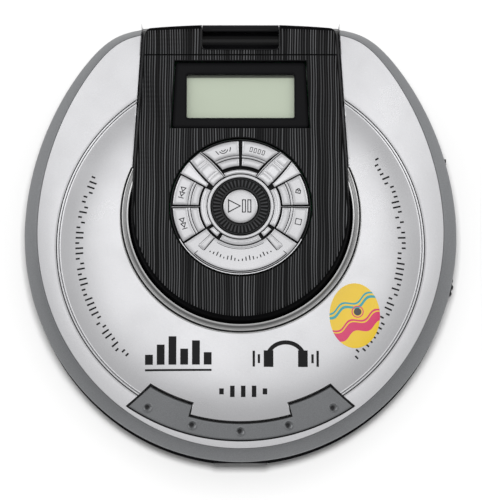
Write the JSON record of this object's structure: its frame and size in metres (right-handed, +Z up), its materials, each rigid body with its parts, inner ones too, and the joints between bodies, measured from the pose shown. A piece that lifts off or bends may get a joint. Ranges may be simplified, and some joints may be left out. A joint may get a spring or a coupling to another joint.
{
  "type": "portable disc player",
  "caption": "Round portable disc player with a hinged silver lid, a raised black control panel with a small display, and a wheel of keys.",
  "frame": {"origin": "on the table, under the middle of the bounding box, lid closed", "axes": "+Z up, +Y to the rear where the lid is hinged, +X to the player's right"},
  "size_m": [0.145, 0.1505, 0.0322],
  "materials": {
    "silver_paint": "satin silver paint",
    "grey_paint": "fine metallic grey paint",
    "black_plastic": "moulded, satin",
    "gloss_black": "polished",
    "chrome_ring": "plated plastic",
    "steel": "bright",
    "rubber": "matt",
    "white_plastic": "satin",
    "circuit_board": "solder mask",
    "display_glass": "clear",
    "cell_wrap": "printed film"
  },
  "bodies": {
    "base": {"bottom_case": "black_plastic", "disc_deck": "black_plastic", "hinge_knuckle": "gloss_black", "hinge_pin": "steel", "mechanism_chassis": "steel", "rubber_damper_1": "rubber", "rubber_damper_2": "rubber", "rubber_damper_3": "rubber", "rubber_damper_4": "rubber", "spindle_motor": "steel", "sled_motor": "steel", "guide_rod_left": "steel", "guide_rod_right": "steel", "main_board": "circuit_board", "headphone_jack": "black_plastic", "line_jack": "black_plastic", "power_jack": "black_plastic", "battery_cell_left": "cell_wrap", "battery_cell_right": "cell_wrap", "battery_contact_left": "steel", "battery_contact_right": "steel", "rubber_foot_1": "rubber", "rubber_foot_2": "rubber", "rubber_foot_3": "rubber", "rubber_foot_4": "rubber", "case_screw_1": "steel", "case_screw_2": "steel", "case_screw_3": "steel", "case_screw_4": "steel"},
    "lid": {"lid_rim": "grey_paint", "lid_shell": "silver_paint", "front_plate": "grey_paint", "collar_ring": "chrome_ring", "lid_liner": "black_plastic", "control_panel": "black_plastic", "display_bezel": "gloss_black", "display_window": "display_glass", "display_module": "white_plastic", "lid_board": "circuit_board", "wheel_frame": "silver_paint", "knurled_ring": "black_plastic"},
    "upper_left_key": {"upper_left_key": "silver_paint"},
    "upper_right_key": {"upper_right_key": "silver_paint"},
    "previous_key": {"previous_key": "silver_paint"},
    "next_key": {"next_key": "silver_paint"},
    "lock_key": {"lock_key": "silver_paint"},
    "stop_key": {"stop_key": "silver_paint"},
    "lower_key": {"lower_key": "silver_paint"},
    "play_key": {"play_key": "silver_paint"},
    "battery_door": {"battery_door": "black_plastic"},
    "turntable": {"turntable": "black_plastic", "spindle_shaft": "steel"},
    "pickup_sled": {"pickup_sled": "black_plastic", "pickup_lens": "display_glass"},
    "sled_gear": {"sled_gear": "white_plastic"},
    "sled_pinion": {"sled_pinion": "white_plastic"},
    "volume_wheel": {"volume_wheel": "black_plastic"},
    "hold_switch": {"hold_switch": "black_plastic"},
    "open_slider": {"open_slider": "black_plastic"}
  },
  "joints": [
    {"name": "lid_hinge", "type": "hinge", "parent": "base", "child": "lid", "pos_m": [0, 0.0703, 0.0235], "axis": [-1, 0, 0], "range_deg": [0, 75]},
    {"name": "upper_left_key_press", "type": "slide", "parent": "lid", "child": "upper_left_key", "axis": [0, 0, -1], "range_m": [0, 0.0005], "stiffness_N_per_m": 400},
    {"name": "upper_right_key_press", "type": "slide", "parent": "lid", "child": "upper_right_key", "axis": [0, 0, -1], "range_m": [0, 0.0005], "stiffness_N_per_m": 400},
    {"name": "previous_key_press", "type": "slide", "parent": "lid", "child": "previous_key", "axis": [0, 0, -1], "range_m": [0, 0.0005], "stiffness_N_per_m": 400},
    {"name": "next_key_press", "type": "slide", "parent": "lid", "child": "next_key", "axis": [0, 0, -1], "range_m": [0, 0.0005], "stiffness_N_per_m": 400},
    {"name": "lock_key_press", "type": "slide", "parent": "lid", "child": "lock_key", "axis": [0, 0, -1], "range_m": [0, 0.0005], "stiffness_N_per_m": 400},
    {"name": "stop_key_press", "type": "slide", "parent": "lid", "child": "stop_key", "axis": [0, 0, -1], "range_m": [0, 0.0005], "stiffness_N_per_m": 400},
    {"name": "lower_key_press", "type": "slide", "parent": "lid", "child": "lower_key", "axis": [0, 0, -1], "range_m": [0, 0.0005], "stiffness_N_per_m": 400},
    {"name": "play_key_press", "type": "slide", "parent": "lid", "child": "play_key", "axis": [0, 0, -1], "range_m": [0, 0.0005], "stiffness_N_per_m": 400},
    {"name": "battery_door_hinge", "type": "hinge", "parent": "base", "child": "battery_door", "pos_m": [0, 0.0231, 0.001], "axis": [-1, 0, 0], "range_deg": [0, 100]},
    {"name": "disc_spin", "type": "hinge", "parent": "base", "child": "turntable", "pos_m": [0, -0.0028, 0.0199], "axis": [0, 0, 1], "continuous": true},
    {"name": "sled_travel", "type": "slide", "parent": "base", "child": "pickup_sled", "axis": [0, -1, 0], "range_m": [0, 0.031]},
    {"name": "sled_gear_turn", "type": "hinge", "parent": "base", "child": "sled_gear", "pos_m": [-0.0283, -0.03, 0.0102], "axis": [0, 0, 1], "range_deg": [-310, 5]},
    {"name": "sled_pinion_turn", "type": "hinge", "parent": "base", "child": "sled_pinion", "pos_m": [-0.0283, -0.0387, 0.0102], "axis": [0, 0, 1], "range_deg": [-10, 880]},
    {"name": "volume_turn", "type": "hinge", "parent": "base", "child": "volume_wheel", "pos_m": [0.0635, -0.014, 0.0145], "axis": [0, 0, 1], "range_deg": [-135, 135]},
    {"name": "hold_slide", "type": "slide", "parent": "base", "child": "hold_switch", "axis": [0, 1, 0], "range_m": [0, 0.003]},
    {"name": "open_push", "type": "slide", "parent": "base", "child": "open_slider", "axis": [0, 1, 0], "range_m": [0, 0.0018], "stiffness_N_per_m": 300}
  ],
  "couplings": [
    {"joint": "sled_gear_turn", "follows": "sled_travel", "rad_per_m": -170.94},
    {"joint": "sled_pinion_turn", "follows": "sled_travel", "rad_per_m": 487.8}
  ]
}
